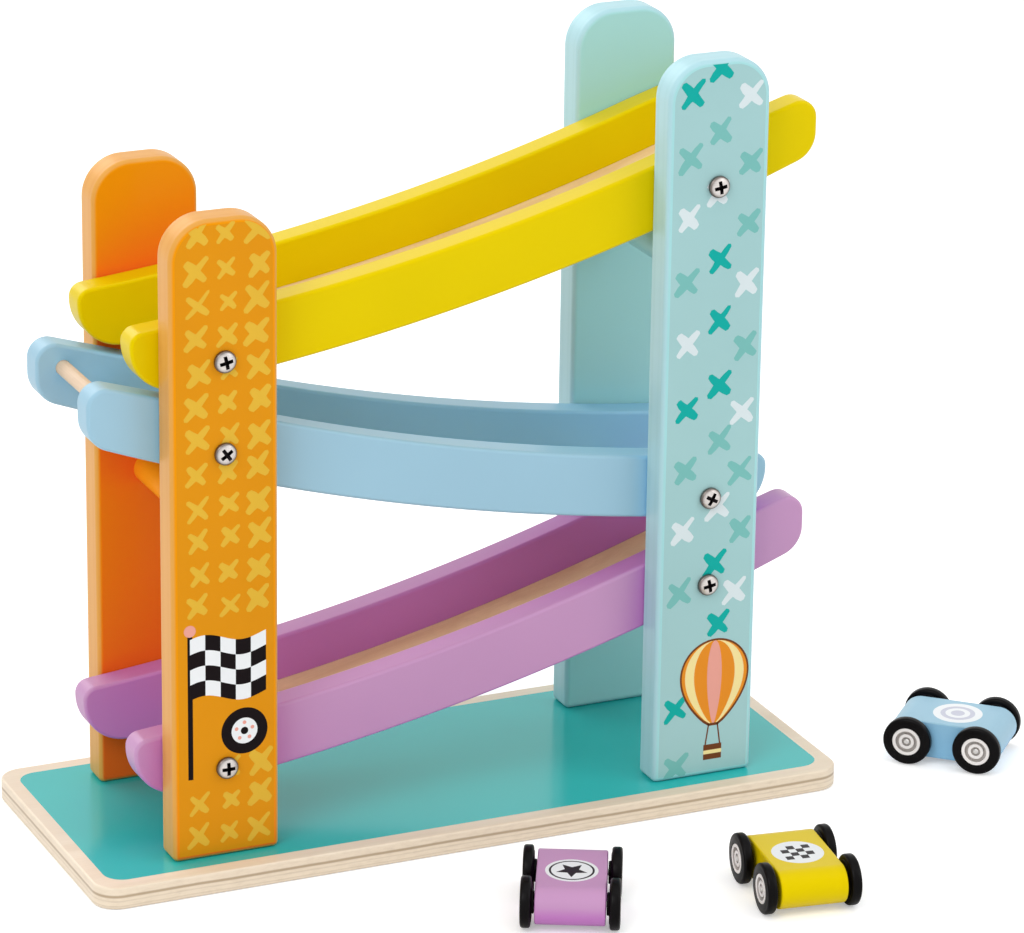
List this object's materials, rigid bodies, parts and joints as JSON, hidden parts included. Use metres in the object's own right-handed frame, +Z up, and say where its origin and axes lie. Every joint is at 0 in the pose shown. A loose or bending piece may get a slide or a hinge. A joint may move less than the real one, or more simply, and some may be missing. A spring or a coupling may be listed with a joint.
{
  "type": "click clack track toy",
  "caption": "Wooden race track toy: curved channels sloping by turns between painted posts on a base board, with small double-sided cars that roll down and drop from track to track.",
  "frame": {"origin": "centre of the base board's underside", "axes": "+X along the base board, from the left posts to the right posts; -Y to the front, where the cars stand; +Z up"},
  "size_m": [0.4072, 0.2359, 0.3066],
  "materials": {
    "orange_paint": "glossy lacquer paint on wood",
    "mint_paint": "glossy lacquer paint on wood",
    "yellow_paint": "glossy lacquer paint on wood",
    "blue_paint": "glossy lacquer paint on wood",
    "purple_paint": "glossy lacquer paint on wood",
    "plywood": "clear lacquered plywood with a painted top panel",
    "floor_wood": "bare thin board",
    "dowel_wood": "bare beech dowel",
    "screw_steel": "bright zinc plated",
    "axle_steel": "bright",
    "wheel_plastic": "black, satin",
    "hub_plastic": "pale, slightly glossy"
  },
  "bodies": {
    "root": {"base_board": "plywood", "left_front_post": "orange_paint", "left_back_post": "orange_paint", "right_front_post": "mint_paint", "right_back_post": "mint_paint", "lower_front_rail": "purple_paint", "lower_back_rail": "purple_paint", "middle_front_rail": "blue_paint", "middle_back_rail": "blue_paint", "upper_front_rail": "yellow_paint", "upper_back_rail": "yellow_paint", "lower_floor": "floor_wood", "middle_floor": "floor_wood", "upper_floor": "floor_wood", "lower_stop_dowel": "dowel_wood", "middle_stop_dowel": "dowel_wood", "upper_stop_dowel": "dowel_wood", "left_tie_dowel": "orange_paint", "right_tie_dowel": "mint_paint", "front_rail_screws": "screw_steel", "back_rail_screws": "screw_steel", "base_screws": "screw_steel"},
    "purple_car": {"purple_car_body": "purple_paint"},
    "purple_car_front_wheel_set": {"purple_car_front_axle": "axle_steel", "purple_car_front_wheels": "wheel_plastic", "purple_car_front_hubs": "hub_plastic"},
    "purple_car_rear_wheel_set": {"purple_car_rear_axle": "axle_steel", "purple_car_rear_wheels": "wheel_plastic", "purple_car_rear_hubs": "hub_plastic"},
    "yellow_car": {"yellow_car_body": "yellow_paint"},
    "yellow_car_front_wheel_set": {"yellow_car_front_axle": "axle_steel", "yellow_car_front_wheels": "wheel_plastic", "yellow_car_front_hubs": "hub_plastic"},
    "yellow_car_rear_wheel_set": {"yellow_car_rear_axle": "axle_steel", "yellow_car_rear_wheels": "wheel_plastic", "yellow_car_rear_hubs": "hub_plastic"},
    "blue_car": {"blue_car_body": "blue_paint"},
    "blue_car_front_wheel_set": {"blue_car_front_axle": "axle_steel", "blue_car_front_wheels": "wheel_plastic", "blue_car_front_hubs": "hub_plastic"},
    "blue_car_rear_wheel_set": {"blue_car_rear_axle": "axle_steel", "blue_car_rear_wheels": "wheel_plastic", "blue_car_rear_hubs": "hub_plastic"}
  },
  "joints": [
    {"name": "purple_car_roll", "type": "slide", "parent": "root", "child": "purple_car", "axis": [-0.4446, -0.8957, 0], "range_m": [-0.03, 0.12]},
    {"name": "purple_car_front_wheels_turn", "type": "hinge", "parent": "purple_car", "child": "purple_car_front_wheel_set", "pos_m": [0.00123, -0.14193, 0.01], "axis": [0.8957, -0.4446, 0], "continuous": true},
    {"name": "purple_car_rear_wheels_turn", "type": "hinge", "parent": "purple_car", "child": "purple_car_rear_wheel_set", "pos_m": [0.01417, -0.11587, 0.01], "axis": [0.8957, -0.4446, 0], "continuous": true},
    {"name": "yellow_car_roll", "type": "slide", "parent": "root", "child": "yellow_car", "axis": [-0.1392, -0.9903, 0], "range_m": [-0.03, 0.12]},
    {"name": "yellow_car_front_wheels_turn", "type": "hinge", "parent": "yellow_car", "child": "yellow_car_front_wheel_set", "pos_m": [0.09258, -0.16071, 0.01], "axis": [0.9903, -0.1392, 0], "continuous": true},
    {"name": "yellow_car_rear_wheels_turn", "type": "hinge", "parent": "yellow_car", "child": "yellow_car_rear_wheel_set", "pos_m": [0.09662, -0.13189, 0.01], "axis": [0.9903, -0.1392, 0], "continuous": true},
    {"name": "blue_car_roll", "type": "slide", "parent": "root", "child": "blue_car", "axis": [0.729, -0.6845, 0], "range_m": [-0.03, 0.12]},
    {"name": "blue_car_front_wheels_turn", "type": "hinge", "parent": "blue_car", "child": "blue_car_front_wheel_set", "pos_m": [0.22831, -0.05746, 0.01], "axis": [0.6845, 0.729, 0], "continuous": true},
    {"name": "blue_car_rear_wheels_turn", "type": "hinge", "parent": "blue_car", "child": "blue_car_rear_wheel_set", "pos_m": [0.20709, -0.03754, 0.01], "axis": [0.6845, 0.729, 0], "continuous": true}
  ],
  "couplings": [
    {"joint": "purple_car_front_wheels_turn", "follows": "purple_car_roll", "rad_per_m": 100},
    {"joint": "purple_car_rear_wheels_turn", "follows": "purple_car_roll", "rad_per_m": 100},
    {"joint": "yellow_car_front_wheels_turn", "follows": "yellow_car_roll", "rad_per_m": 100},
    {"joint": "yellow_car_rear_wheels_turn", "follows": "yellow_car_roll", "rad_per_m": 100},
    {"joint": "blue_car_front_wheels_turn", "follows": "blue_car_roll", "rad_per_m": 100},
    {"joint": "blue_car_rear_wheels_turn", "follows": "blue_car_roll", "rad_per_m": 100}
  ]
}
